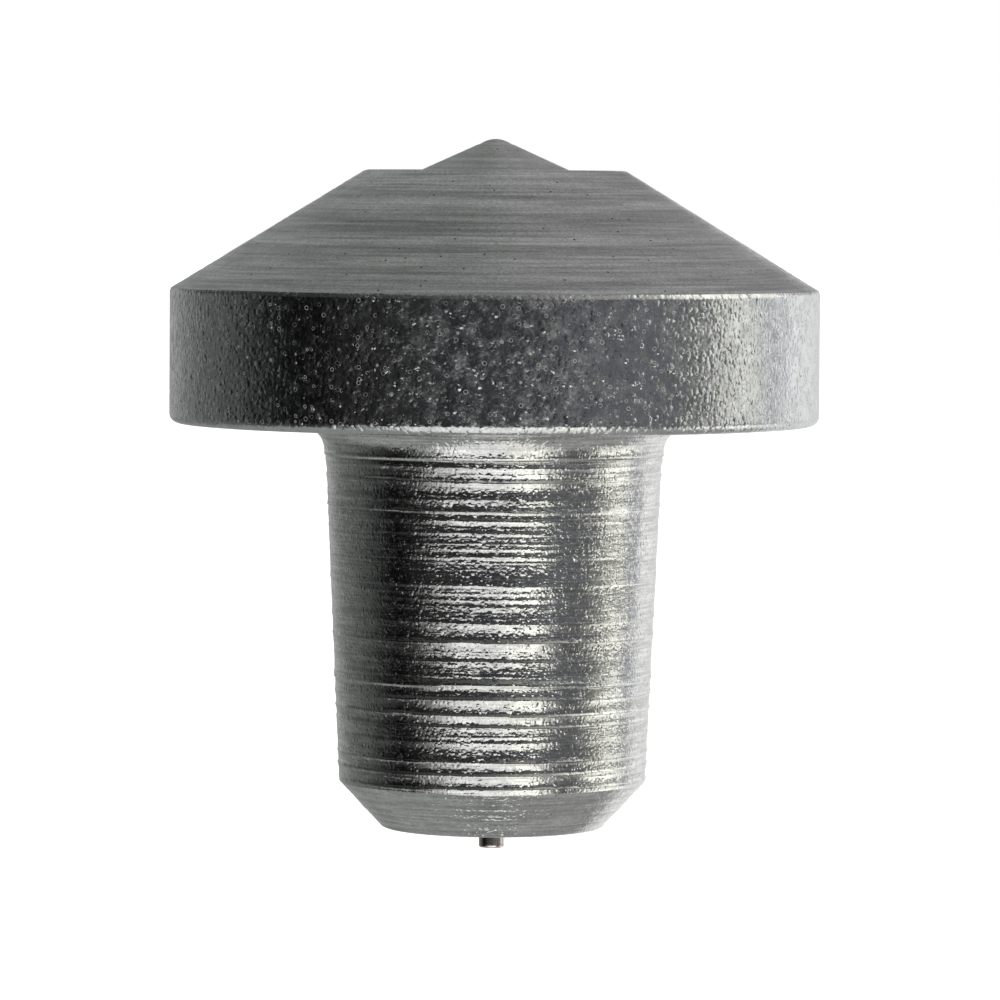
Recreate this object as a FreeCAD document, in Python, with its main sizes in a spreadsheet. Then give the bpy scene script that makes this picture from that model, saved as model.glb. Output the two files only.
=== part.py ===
"""Bull-nose live center with a short 1:11 taper arbor and a sprung pilot point.

The frame's origin is on the axis, in the plane where the taper is 18 mm across (the gauge
line). +Z points along the axis towards the work, so the shank is below the origin and the
head is above it. Lengths are in millimetres.
"""

import FreeCAD, Part
import math
import os
import Sketcher

doc = FreeCAD.newDocument("LiveCenter")

# Driving dimensions: alias, value, meaning. Every sketch, feature and placement follows them.
DRIVING_SIZES = [
    # fits
    ("fit_gap", 0.02, "radial gap of a thread or a push fit"),
    ("centring_gap", 0.05, "radial gap where a washer is centred"),
    # shank and arbor
    ("gauge_diameter", 18.0, "taper diameter at the gauge line"),
    ("taper_rate", 11.0, "length in which the taper diameter changes by one"),
    ("gauge_to_end", 18.4, "gauge line to the small end of the shank"),
    ("gauge_to_head", 3.4, "gauge line to the underside of the head"),
    ("end_diameter", 11.9, "flat face at the small end"),
    ("end_chamfer_height", 2.5, "bevel at the small end, along the axis"),
    ("neck_diameter", 21.6, "neck inside the closing ring"),
    ("neck_blend", 1.6, "concave blend from the taper to the neck"),
    ("flange_diameter", 27.8, "arbor flange under the thrust bearing"),
    ("flange_thickness", 1.25, "arbor flange"),
    ("boss_height", 0.4, "boss that centres the lower washer"),
    ("land_diameter", 7.8, "land that carries the inner ring"),
    ("land_height", 0.3, "land above the boss"),
    ("spigot_tail", 1.0, "spigot past the ball bearing"),
    ("rod_bore_diameter", 2.0, "through bore for the rod"),
    # head
    ("head_diameter", 35.0, "rim of the head"),
    ("rim_height", 7.2, "cylindrical rim"),
    ("rim_rounding", 0.5, "rounded lower corner of the rim"),
    ("cone_rounding", 0.5, "rounding of the rim just under the cone"),
    ("cone_rounding_angle", 35.0, "turn of that rounding up to the cone's edge, in degrees"),
    ("cone_angle", 117.0, "included angle of the bull cone in degrees"),
    ("nose_diameter", 14.0, "flat top of the bull cone"),
    ("cavity_diameter", 28.4, "cavity of the thrust bearing"),
    ("hub_diameter", 14.6, "hub around the ball bearing"),
    ("chamber_diameter", 11.2, "chamber of the pilot spring"),
    # closing ring, seal and lock screw
    ("ring_diameter", 30.0, "thread of the closing ring"),
    ("ring_thickness", 1.5, "closing ring"),
    ("ring_bore", 22.1, "closing ring around the neck"),
    ("seal_inner_diameter", 23.4, "felt seal"),
    ("seal_outer_diameter", 27.0, "felt seal"),
    ("seal_thickness", 0.9, "felt seal"),
    ("seal_recess", 0.6, "depth of the seal's recess"),
    ("seal_gap", 0.05, "felt seal to the flange"),
    ("spanner_hole_diameter", 1.0, "blind hole for a pin spanner"),
    ("spanner_hole_depth", 0.9, "blind hole for a pin spanner"),
    ("spanner_circle", 28.4, "circle of the spanner holes"),
    ("spanner_holes", 4, "number of spanner holes"),
    ("spanner_start_angle", 45.0, "first spanner hole from +X, in degrees"),
    ("lock_screw_diameter", 1.6, "grub screw on the thread seam"),
    ("lock_screw_length", 1.2, "grub screw on the thread seam"),
    ("lock_hole_depth", 1.25, "hole of the grub screw"),
    ("screw_slot_width", 0.3, "screwdriver slot"),
    ("screw_slot_depth", 0.4, "screwdriver slot"),
    # thrust bearing, 15 x 28
    ("thrust_bore", 15.0, "both thrust washers"),
    ("thrust_outer", 28.0, "both thrust washers"),
    ("washer_thickness", 1.0, "both thrust washers"),
    ("washer_chamfer", 0.15, "edges of the thrust washers"),
    ("needle_space", 2.0, "gap between the thrust washers"),
    ("needle_diameter", 1.98, "needle roller"),
    ("needle_length", 4.4, "needle roller"),
    ("needle_inner_radius", 8.55, "inner end of a needle"),
    ("needles", 20, "number of needles"),
    ("needle_cage_bore", 15.2, "needle cage"),
    ("needle_cage_outer", 27.8, "needle cage"),
    ("needle_cage_thickness", 1.4, "needle cage"),
    ("pocket_gap", 0.04, "gap around a roller or ball in its pocket"),
    # ball bearing, 6 x 12 x 4
    ("bearing_bore", 6.0, "ball bearing"),
    ("bearing_outer", 12.0, "ball bearing"),
    ("bearing_width", 4.0, "ball bearing"),
    ("inner_ring_diameter", 7.5, "outside of the inner ring"),
    ("outer_ring_bore", 10.5, "inside of the outer ring"),
    ("ball_diameter", 1.588, "bearing ball"),
    ("ball_circle", 9.0, "circle of the ball centres"),
    ("balls", 9, "number of balls"),
    ("race_radius", 0.826, "raceway groove"),
    ("ball_cage_bore", 8.3, "ball cage"),
    ("ball_cage_outer", 9.7, "ball cage"),
    ("ball_cage_width", 2.3, "ball cage"),
    ("shield_bore", 7.7, "bearing shield"),
    ("shield_outer", 10.9, "bearing shield"),
    ("shield_thickness", 0.2, "bearing shield"),
    ("shield_setback", 0.1, "bearing shield below the end face"),
    # snap rings
    ("bearing_ring_thickness", 0.7, "snap ring on the spigot"),
    ("bearing_ring_outer", 8.2, "snap ring on the spigot"),
    ("bearing_groove_diameter", 5.7, "groove of the snap ring on the spigot"),
    ("seat_ring_thickness", 0.5, "snap ring under the spring seat"),
    ("seat_ring_bore", 9.6, "snap ring under the spring seat"),
    ("seat_groove_diameter", 11.8, "groove of the snap ring under the spring seat"),
    ("seat_ring_clearance", 0.1, "spigot end to the snap ring under the spring seat"),
    ("snap_ring_opening", 40.0, "opening of a snap ring in degrees"),
    ("ear_diameter", 1.3, "ear of a snap ring"),
    ("ear_hole_diameter", 0.6, "plier hole in an ear"),
    # pilot, rod and spring
    ("seat_diameter", 11.0, "spring seat"),
    ("seat_thickness", 0.6, "spring seat"),
    ("pilot_travel", 1.6, "how far the pilot can be pushed in"),
    ("pilot_diameter", 8.0, "guide and cone base of the pilot"),
    ("pilot_running_gap", 0.03, "radial gap between the pilot and the head"),
    ("pilot_collar_diameter", 10.8, "collar that keeps the pilot in the head"),
    ("pilot_collar_height", 0.6, "collar that keeps the pilot in the head"),
    ("pilot_cone_angle", 131.2, "included angle of the pilot cone in degrees"),
    ("pilot_tip_radius", 1.4, "rounded tip of the pilot cone"),
    ("spring_pocket_diameter", 5.8, "pocket for the spring in the pilot"),
    ("spring_pocket_depth", 1.9, "pocket for the spring in the pilot"),
    ("rod_boss_diameter", 3.2, "boss that holds the rod in the pilot"),
    ("rod_boss_height", 1.3, "boss that holds the rod in the pilot"),
    ("rod_diameter", 1.4, "rod"),
    ("rod_exposed", 1.15, "rod past the small end of the shank"),
    ("rod_hole_rise", 1.0, "rod hole above the spring pocket"),
    ("rod_end_chamfer", 0.12, "edge of the rod's free end"),
    ("bush_outer", 4.0, "bush at the small end"),
    ("bush_length", 5.0, "bush at the small end"),
    ("bush_running_gap", 0.05, "radial gap between the rod and the bush"),
    ("spring_wire", 0.4, "pilot spring"),
    ("spring_mean_diameter", 4.7, "pilot spring"),
    ("spring_turns", 3.5, "pilot spring"),
]

sheet = doc.addObject("Spreadsheet::Sheet", "Sizes")
for row, (alias, value, meaning) in enumerate(DRIVING_SIZES, start=1):
    sheet.set(f"A{row}", meaning)
    sheet.set(f"B{row}", str(value))
    sheet.setAlias(f"B{row}", alias)
doc.recompute()


class Size:
    """A length that keeps both its number and the sheet expression that gives it."""

    def __init__(self, value, text):
        self.value = float(value)
        self.text = text

    def join(self, other, sign, value):
        text = other.text if isinstance(other, Size) else str(other)
        return Size(value, f"({self.text} {sign} {text})")

    def __add__(self, other):
        return self.join(other, "+", self.value + number(other))

    def __sub__(self, other):
        return self.join(other, "-", self.value - number(other))

    def __mul__(self, other):
        return self.join(other, "*", self.value * number(other))

    def __truediv__(self, other):
        return self.join(other, "/", self.value / number(other))

    def __neg__(self):
        return Size(-self.value, f"(-{self.text})")


def number(quantity):
    """The number of a Size, or the number itself."""
    return quantity.value if isinstance(quantity, Size) else float(quantity)


def size(alias):
    """The driving dimension with this alias."""
    return Size(sheet.get(alias), f"Sizes.{alias}")


def radius(alias):
    """Half of the driving diameter with this alias."""
    return size(alias) / 2


def sine(degrees):
    """Sine of an angle; the sheet's functions take plain numbers as degrees."""
    return Size(math.sin(math.radians(degrees.value)), f"sin({degrees.text})")


def cosine(degrees):
    """Cosine of an angle in degrees."""
    return Size(math.cos(math.radians(degrees.value)), f"cos({degrees.text})")


def bind(item, prop, quantity):
    """Let a property follow the sheet."""
    item.setExpression(prop, quantity.text)


# Stations along the axis, measured from the gauge line.
SMALL_END = -size("gauge_to_end")
UNDERSIDE = size("gauge_to_head")
SEAL_BASE = UNDERSIDE + size("ring_thickness") - size("seal_recess")
FLANGE_BASE = SEAL_BASE + size("seal_thickness") + size("seal_gap")
FLANGE_TOP = FLANGE_BASE + size("flange_thickness")
NEEDLE_BASE = FLANGE_TOP + size("washer_thickness")
UPPER_WASHER_BASE = NEEDLE_BASE + size("needle_space")
CAVITY_TOP = UPPER_WASHER_BASE + size("washer_thickness")
BEARING_BASE = FLANGE_TOP + size("boss_height") + size("land_height")
BEARING_TOP = BEARING_BASE + size("bearing_width")
SPIGOT_TOP = BEARING_TOP + size("spigot_tail")
SEAT_RING_BASE = SPIGOT_TOP + size("seat_ring_clearance")
SEAT_BASE = SEAT_RING_BASE + size("seat_ring_thickness")
SEAT_TOP = SEAT_BASE + size("seat_thickness")
COLLAR_BASE = SEAT_TOP + size("pilot_travel")
CHAMBER_TOP = COLLAR_BASE + size("pilot_collar_height")
CONE_HALF_ANGLE = size("cone_angle") / 2
CONE_WIDTH = radius("head_diameter") - radius("nose_diameter")
CONE_HEIGHT = CONE_WIDTH * cosine(CONE_HALF_ANGLE) / sine(CONE_HALF_ANGLE)
NOSE_FACE = UNDERSIDE + size("rim_height") + CONE_HEIGHT
POCKET_TOP = COLLAR_BASE + size("spring_pocket_depth")

ZERO = 0


# ---------------------------------------------------------------------------------------
# Helpers for bodies, sketches and features
# ---------------------------------------------------------------------------------------

def new_body(label, base=None):
    """A body whose local base plane stands at the station 'base' of the assembly."""
    body = doc.addObject("PartDesign::Body", label)
    body.Label = label
    body.AllowCompound = True
    if base is not None:
        bind(body, ".Placement.Base.z", base)
    return body


def origin_feature(body, role):
    """The plane or axis of a body's own origin."""
    return next(item for item in body.Origin.OriginFeatures if item.Role == role)


def new_sketch(body, name, role, offset=None):
    """A sketch on an origin plane, moved along the plane's normal by 'offset'."""
    sketch = body.newObject("Sketcher::SketchObject", name)
    sketch.AttachmentSupport = [(origin_feature(body, role), "")]
    sketch.MapMode = "FlatFace"
    if offset is not None:
        bind(sketch, ".AttachmentOffset.Base.z", offset)
    return sketch


def place_point(sketch, edge, end, across, up):
    """Fix one point of a sketch edge at two signed distances from the sketch's origin."""
    if across is ZERO and up is ZERO:
        sketch.addConstraint(Sketcher.Constraint("Coincident", edge, end, -1, 1))
        return
    for kind, quantity, axis in (("DistanceX", across, -2), ("DistanceY", up, -1)):
        if quantity is ZERO:
            sketch.addConstraint(Sketcher.Constraint("PointOnObject", edge, end, axis))
        else:
            index = sketch.addConstraint(
                Sketcher.Constraint(kind, -1, 1, edge, end, quantity.value))
            bind(sketch, f"Constraints[{index}]", quantity)


def add_outline(sketch, corners, arcs=None):
    """A closed outline through corners given as (across, up) pairs.

    The edges are straight, except that 'arcs' gives the radius of each edge that is a
    counter-clockwise arc, by the number of the corner where it starts.
    """
    arcs = arcs or {}
    points = [FreeCAD.Vector(number(across), number(up), 0) for across, up in corners]
    for edge, (start, finish) in enumerate(zip(points, points[1:] + points[:1])):
        if edge in arcs:
            sketch.addGeometry(arc_between(start, finish, arcs[edge].value))
        else:
            sketch.addGeometry(Part.LineSegment(start, finish))
    for edge in range(len(points)):
        sketch.addConstraint(Sketcher.Constraint("Coincident", edge, 2, (edge + 1) % len(points), 1))
    for edge, (across, up) in enumerate(corners):
        place_point(sketch, edge, 1, across, up)
    for edge, arc_radius in arcs.items():
        index = sketch.addConstraint(Sketcher.Constraint("Radius", edge, arc_radius.value))
        bind(sketch, f"Constraints[{index}]", arc_radius)


def arc_between(start, finish, arc_radius):
    """The shorter counter-clockwise arc from one point to another."""
    chord = finish - start
    left = FreeCAD.Vector(-chord.y, chord.x, 0).normalize()
    rise = math.sqrt(arc_radius ** 2 - (chord.Length / 2) ** 2)
    centre = (start + finish) * 0.5 + left * rise
    circle = Part.Circle(centre, FreeCAD.Vector(0, 0, 1), arc_radius)
    first = math.atan2(start.y - centre.y, start.x - centre.x)
    last = math.atan2(finish.y - centre.y, finish.x - centre.x)
    return Part.ArcOfCircle(circle, first, last)


def add_circle(sketch, across, up, circle_radius):
    """A circle whose centre is given like an outline's corner."""
    centre = FreeCAD.Vector(number(across), number(up), 0)
    edge = sketch.addGeometry(Part.Circle(centre, FreeCAD.Vector(0, 0, 1), circle_radius.value))
    place_point(sketch, edge, 3, across, up)
    index = sketch.addConstraint(Sketcher.Constraint("Radius", edge, circle_radius.value))
    bind(sketch, f"Constraints[{index}]", circle_radius)


def profile_feature(body, kind, name, sketch):
    """A feature that uses a sketch."""
    feature = body.newObject(f"PartDesign::{kind}", name)
    feature.Profile = sketch
    sketch.Visibility = False
    return feature


def turn(body, name, corners, arcs=None):
    """Turn a solid about Z from an outline of (radius, height) corners."""
    sketch = new_sketch(body, f"{name}_outline", "XZ_Plane")
    add_outline(sketch, corners, arcs)
    feature = profile_feature(body, "Revolution", name, sketch)
    feature.ReferenceAxis = (sketch, ["V_Axis"])
    feature.Angle = 360
    doc.recompute()
    return feature


def turned_groove(body, name, corners):
    """Cut a groove about Z from an outline of (radius, height) corners."""
    sketch = new_sketch(body, f"{name}_outline", "XZ_Plane")
    add_outline(sketch, corners)
    return cut_about_axis(body, name, sketch)


def raceway(body, name, height):
    """Cut the round raceway of the balls about Z."""
    sketch = new_sketch(body, f"{name}_outline", "XZ_Plane")
    add_circle(sketch, radius("ball_circle"), height, size("race_radius"))
    return cut_about_axis(body, name, sketch)


def cut_about_axis(body, name, sketch):
    """Groove a full turn and make sure that it removed material."""
    before = body.Shape.Volume
    feature = profile_feature(body, "Groove", name, sketch)
    feature.ReferenceAxis = (sketch, ["V_Axis"])
    feature.Angle = 360
    doc.recompute()
    require_cut(feature, before)
    return feature


def pocket_up(body, name, sketch, depth):
    """Pocket from the sketch's plane along its normal, and make sure that it cut."""
    before = body.Shape.Volume
    feature = profile_feature(body, "Pocket", name, sketch)
    feature.Reversed = True
    bind(feature, "Length", depth)
    doc.recompute()
    require_cut(feature, before)
    return feature


def pad_up(body, name, sketch, height):
    """Pad along the sketch's normal."""
    feature = profile_feature(body, "Pad", name, sketch)
    bind(feature, "Length", height)
    doc.recompute()
    return feature


def require_cut(feature, volume_before):
    """Stop when a cutting feature missed the solid."""
    if feature.Shape.Volume > volume_before - 1e-4:
        raise RuntimeError(f"{feature.Name} cut nothing")


def repeat_about_axis(body, name, feature, count):
    """Repeat a feature evenly around Z."""
    pattern = body.newObject("PartDesign::PolarPattern", name)
    pattern.Originals = [feature]
    pattern.Axis = (origin_feature(body, "Z_Axis"), [""])
    pattern.Angle = 360
    bind(pattern, "Occurrences", count)
    body.Tip = pattern
    doc.recompute()
    return pattern


def circular_edges(feature, edge_radius, height):
    """Names of the circular edges with this radius at this local height."""
    names = []
    for index, edge in enumerate(feature.Shape.Edges, start=1):
        if not isinstance(edge.Curve, Part.Circle):
            continue
        same_radius = abs(edge.Curve.Radius - number(edge_radius)) < 1e-4
        same_height = abs(edge.Curve.Center.z - number(height)) < 1e-4
        if same_radius and same_height:
            names.append(f"Edge{index}")
    return names


def round_edges(body, name, places, rounding):
    """Fillet the circular edges at (radius, height) places of the body's last feature."""
    return dress_edges(body, "Fillet", "Radius", name, places, rounding)


def bevel_edges(body, name, places, bevel):
    """Chamfer the circular edges at (radius, height) places of the body's last feature."""
    return dress_edges(body, "Chamfer", "Size", name, places, bevel)


def dress_edges(body, kind, prop, name, places, amount):
    """Add a fillet or a chamfer to circular edges."""
    base = body.Tip
    names = [edge for place in places for edge in circular_edges(base, *place)]
    if len(names) < len(places):
        raise RuntimeError(f"{name} found {len(names)} edges for {len(places)} places")
    feature = body.newObject(f"PartDesign::{kind}", name)
    feature.Base = (base, names)
    bind(feature, prop, amount)
    doc.recompute()
    return feature


def disc_ring(label, base, bore, outer, thickness):
    """A plain flat ring: a body with one turned feature."""
    body = new_body(label, base)
    turn(body, f"{label}_turned", [(bore, ZERO), (outer, ZERO), (outer, thickness), (bore, thickness)])
    return body


# ---------------------------------------------------------------------------------------
# Arbor: everything that stands still in the tailstock
# ---------------------------------------------------------------------------------------

def taper_radius(height):
    """Radius of the taper at a height above the small end."""
    from_gauge = height - size("gauge_to_end")
    return (size("gauge_diameter") + from_gauge / size("taper_rate")) / 2


def build_taper_shank():
    """Taper, neck, flange, boss and spigot in one piece, bored through for the rod."""
    body = new_body("taper_shank", SMALL_END)
    underside = UNDERSIDE - SMALL_END
    flange_base = FLANGE_BASE - SMALL_END
    flange_top = FLANGE_TOP - SMALL_END
    boss_top = flange_top + size("boss_height")
    land_top = BEARING_BASE - SMALL_END
    spigot_top = SPIGOT_TOP - SMALL_END
    bore = radius("rod_bore_diameter")
    neck = radius("neck_diameter")
    boss = radius("thrust_bore") - size("centring_gap")
    spigot = radius("bearing_bore") - size("fit_gap")
    chamfer_top = size("end_chamfer_height")
    turn(body, "shank_turned", [
        (bore, ZERO),
        (radius("end_diameter"), ZERO),
        (taper_radius(chamfer_top), chamfer_top),
        (taper_radius(underside), underside),
        (neck, underside),
        (neck, flange_base),
        (radius("flange_diameter"), flange_base),
        (radius("flange_diameter"), flange_top),
        (boss, flange_top),
        (boss, boss_top),
        (radius("land_diameter"), boss_top),
        (radius("land_diameter"), land_top),
        (spigot, land_top),
        (spigot, spigot_top),
        (bore, spigot_top),
    ])
    round_edges(body, "neck_blended", [(taper_radius(underside), underside)], size("neck_blend"))
    groove_base = BEARING_TOP - SMALL_END
    groove_top = groove_base + size("bearing_ring_thickness")
    turned_groove(body, "snap_ring_groove", [
        (radius("bearing_groove_diameter"), groove_base),
        (radius("land_diameter"), groove_base),
        (radius("land_diameter"), groove_top),
        (radius("bearing_groove_diameter"), groove_top),
    ])
    seat = new_sketch(body, "bush_seat_outline", "XY_Plane")
    add_circle(seat, ZERO, ZERO, radius("bush_outer"))
    pocket_up(body, "bush_seat", seat, size("bush_length"))
    edges = [(radius("flange_diameter"), flange_base), (radius("flange_diameter"), flange_top)]
    bevel_edges(body, "flange_bevels", edges, size("washer_chamfer"))
    return body


def build_tail_bush():
    """Bronze bush that guides the rod at the small end."""
    bore = radius("rod_diameter") + size("bush_running_gap")
    outer = radius("bush_outer") - size("fit_gap")
    return disc_ring("tail_bush", SMALL_END, bore, outer, size("bush_length"))


def build_thrust_washer(label, base):
    """Flat hardened washer with bevelled edges."""
    bore = radius("thrust_bore")
    outer = radius("thrust_outer")
    thickness = size("washer_thickness")
    body = disc_ring(label, base, bore, outer, thickness)
    edges = [(bore, ZERO), (bore, thickness), (outer, ZERO), (outer, thickness)]
    bevel_edges(body, f"{label}_bevels", edges, size("washer_chamfer"))
    return body


def build_bearing_inner_ring():
    """Inner ring of the ball bearing, on the spigot."""
    body = disc_ring("bearing_inner_ring", BEARING_BASE, radius("bearing_bore"),
                     radius("inner_ring_diameter"), size("bearing_width"))
    raceway(body, "inner_raceway", size("bearing_width") / 2)
    return body


def build_snap_ring(label, base, bore, outer, ear_circle, thickness):
    """Open ring with two eared ends that have plier holes."""
    body = new_body(label, base)
    sketch = new_sketch(body, f"{label}_outline", "XZ_Plane")
    add_outline(sketch, [(bore, ZERO), (outer, ZERO), (outer, thickness), (bore, thickness)])
    ring = profile_feature(body, "Revolution", f"{label}_ring", sketch)
    ring.ReferenceAxis = (sketch, ["V_Axis"])
    ring.Midplane = True
    ring.setExpression("Angle", "360 - Sizes.snap_ring_opening")
    doc.recompute()
    # The opening is centred on -X, and an ear stands at each end of the ring.
    half_opening = size("snap_ring_opening") / 2
    across = -ear_circle * cosine(half_opening)
    up = ear_circle * sine(half_opening)
    for side, ear_up in (("left", up), ("right", -up)):
        ear = new_sketch(body, f"{label}_{side}_ear_outline", "XY_Plane")
        add_circle(ear, across, ear_up, radius("ear_diameter"))
        pad_up(body, f"{label}_{side}_ear", ear, thickness)
    for side, hole_up in (("left", up), ("right", -up)):
        hole = new_sketch(body, f"{label}_{side}_hole_outline", "XY_Plane")
        add_circle(hole, across, hole_up, radius("ear_hole_diameter"))
        pocket_up(body, f"{label}_{side}_hole", hole, thickness)
    return body


def build_bearing_snap_ring():
    """Snap ring on the spigot, which holds the ball bearing and with it the head."""
    bore = radius("bearing_groove_diameter") + size("fit_gap")
    outer = radius("bearing_ring_outer")
    ear_circle = outer + radius("ear_diameter") / 4
    return build_snap_ring("bearing_snap_ring", BEARING_TOP, bore, outer, ear_circle,
                           size("bearing_ring_thickness"))


# ---------------------------------------------------------------------------------------
# Head: everything that turns with the work
# ---------------------------------------------------------------------------------------

def build_bull_head():
    """Rim, bull cone and flat nose, hollow for the bearings, the spring and the pilot."""
    body = new_body("bull_head", UNDERSIDE)
    rim = radius("head_diameter")
    rim_top = size("rim_height")
    nose_face = NOSE_FACE - UNDERSIDE
    lower_rounding = size("rim_rounding")
    upper_rounding = size("cone_rounding")
    upper_turn = size("cone_rounding_angle")
    inset = upper_rounding - upper_rounding * cosine(upper_turn)
    cone_base = rim_top + inset * cosine(CONE_HALF_ANGLE) / sine(CONE_HALF_ANGLE)
    wall_top = cone_base - upper_rounding * sine(upper_turn)
    lower_edge, upper_edge = 1, 3
    thread = radius("ring_diameter")
    thread_top = size("ring_thickness")
    cavity = radius("cavity_diameter")
    cavity_top = CAVITY_TOP - UNDERSIDE
    washer_base = UPPER_WASHER_BASE - UNDERSIDE
    centring = radius("thrust_bore") - size("centring_gap")
    hub_base = BEARING_BASE - UNDERSIDE
    bearing_seat = radius("bearing_outer") + size("fit_gap")
    bearing_top = BEARING_TOP - UNDERSIDE
    chamber_top = CHAMBER_TOP - UNDERSIDE
    guide = radius("pilot_diameter") + size("pilot_running_gap")
    turn(body, "head_turned", [
        (thread, ZERO),
        (rim - lower_rounding, ZERO),
        (rim, lower_rounding),
        (rim, wall_top),
        (rim - inset, cone_base),
        (radius("nose_diameter"), nose_face),
        (guide, nose_face),
        (guide, chamber_top),
        (radius("chamber_diameter"), chamber_top),
        (radius("chamber_diameter"), bearing_top),
        (bearing_seat, bearing_top),
        (bearing_seat, hub_base),
        (radius("hub_diameter"), hub_base),
        (radius("hub_diameter"), washer_base),
        (centring, washer_base),
        (centring, cavity_top),
        (cavity, cavity_top),
        (cavity, thread_top),
        (thread, thread_top),
    ], {lower_edge: lower_rounding, upper_edge: upper_rounding})
    groove_base = SEAT_RING_BASE - UNDERSIDE
    groove_top = SEAT_BASE - UNDERSIDE
    turned_groove(body, "seat_ring_groove", [
        (radius("pilot_collar_diameter"), groove_base),
        (radius("seat_groove_diameter"), groove_base),
        (radius("seat_groove_diameter"), groove_top),
        (radius("pilot_collar_diameter"), groove_top),
    ])
    lock_hole = new_sketch(body, "lock_hole_outline", "XY_Plane")
    add_circle(lock_hole, thread, ZERO, radius("lock_screw_diameter"))
    pocket_up(body, "lock_hole", lock_hole, size("lock_hole_depth"))
    return body


def build_cover_ring():
    """Threaded closing ring around the neck, with a recess for the seal."""
    thickness = size("ring_thickness")
    outer = radius("ring_diameter") - size("fit_gap")
    body = disc_ring("cover_ring", UNDERSIDE, radius("ring_bore"), outer, thickness)
    recess_base = thickness - size("seal_recess")
    turned_groove(body, "seal_recess", [
        (radius("seal_inner_diameter"), recess_base),
        (radius("seal_outer_diameter"), recess_base),
        (radius("seal_outer_diameter"), thickness + size("seal_recess")),
        (radius("seal_inner_diameter"), thickness + size("seal_recess")),
    ])
    lock_hole = new_sketch(body, "ring_lock_hole_outline", "XY_Plane")
    add_circle(lock_hole, radius("ring_diameter"), ZERO, radius("lock_screw_diameter"))
    pocket_up(body, "ring_lock_hole", lock_hole, size("lock_hole_depth"))
    spanner = new_sketch(body, "spanner_hole_outline", "XY_Plane")
    angle = size("spanner_start_angle")
    across = radius("spanner_circle") * cosine(angle)
    up = radius("spanner_circle") * sine(angle)
    add_circle(spanner, across, up, radius("spanner_hole_diameter"))
    hole = pocket_up(body, "spanner_hole", spanner, size("spanner_hole_depth"))
    repeat_about_axis(body, "spanner_hole_pattern", hole, size("spanner_holes"))
    return body


def build_ring_lock_screw():
    """Grub screw on the seam between the head and the closing ring."""
    body = new_body("ring_lock_screw", UNDERSIDE)
    screw = radius("lock_screw_diameter") - size("fit_gap")
    outline = new_sketch(body, "lock_screw_outline", "XY_Plane")
    add_circle(outline, radius("ring_diameter"), ZERO, screw)
    pad_up(body, "lock_screw", outline, size("lock_screw_length"))
    slot = new_sketch(body, "lock_screw_slot_outline", "XY_Plane")
    near = radius("ring_diameter") - size("lock_screw_diameter")
    far = radius("ring_diameter") + size("lock_screw_diameter")
    half = size("screw_slot_width") / 2
    add_outline(slot, [(near, -half), (far, -half), (far, half), (near, half)])
    pocket_up(body, "lock_screw_slot", slot, size("screw_slot_depth"))
    return body


def build_felt_seal():
    """Felt ring that keeps chips out of the bearings."""
    return disc_ring("felt_seal", SEAL_BASE, radius("seal_inner_diameter"),
                     radius("seal_outer_diameter"), size("seal_thickness"))


def build_bearing_outer_ring():
    """Outer ring of the ball bearing, stepped at both ends for the shields."""
    width = size("bearing_width")
    step = size("shield_setback") + size("shield_thickness")
    bore = radius("outer_ring_bore")
    shield = radius("shield_outer")
    outer = radius("bearing_outer")
    body = new_body("bearing_outer_ring", BEARING_BASE)
    turn(body, "outer_ring_turned", [
        (bore, step),
        (shield, step),
        (shield, ZERO),
        (outer, ZERO),
        (outer, width),
        (shield, width),
        (shield, width - step),
        (bore, width - step),
    ])
    raceway(body, "outer_raceway", width / 2)
    return body


def build_bearing_shield(label, base):
    """Thin shield held by the outer ring, clear of the inner ring."""
    outer = radius("shield_outer") - size("fit_gap")
    return disc_ring(label, base, radius("shield_bore"), outer, size("shield_thickness"))


def build_seat_snap_ring():
    """Snap ring in the head's chamber, which carries the spring seat."""
    bore = radius("seat_ring_bore")
    outer = radius("seat_groove_diameter") - size("fit_gap")
    ear_circle = bore - radius("ear_diameter") / 4
    return build_snap_ring("seat_snap_ring", SEAT_RING_BASE, bore, outer, ear_circle,
                           size("seat_ring_thickness"))


def build_spring_seat():
    """Disc that the spring stands on and that the pushed-in pilot stops against."""
    return disc_ring("spring_seat", SEAT_BASE, radius("rod_bore_diameter"),
                     radius("seat_diameter"), size("seat_thickness"))


def build_pilot_spring():
    """Compression spring between the seat and the pilot."""
    body = new_body("pilot_spring", SEAT_TOP)
    wire = radius("spring_wire")
    outline = new_sketch(body, "spring_wire_outline", "XZ_Plane")
    add_circle(outline, radius("spring_mean_diameter"), wire, wire)
    coil = profile_feature(body, "AdditiveHelix", "spring_coil", outline)
    coil.ReferenceAxis = (outline, ["V_Axis"])
    coil.Mode = "height-turns-angle"
    bind(coil, "Height", POCKET_TOP - SEAT_TOP - size("spring_wire"))
    bind(coil, "Turns", size("spring_turns"))
    doc.recompute()
    return body


# ---------------------------------------------------------------------------------------
# Rolling parts: each set turns at its own speed between the arbor and the head
# ---------------------------------------------------------------------------------------

def build_thrust_needles():
    """Needle rollers that lie along the radii of the thrust bearing."""
    body = new_body("thrust_needles", NEEDLE_BASE)
    outline = new_sketch(body, "needle_outline", "YZ_Plane", size("needle_inner_radius"))
    add_circle(outline, ZERO, size("needle_space") / 2, radius("needle_diameter"))
    needle = pad_up(body, "needle", outline, size("needle_length"))
    repeat_about_axis(body, "needle_pattern", needle, size("needles"))
    return body


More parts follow.
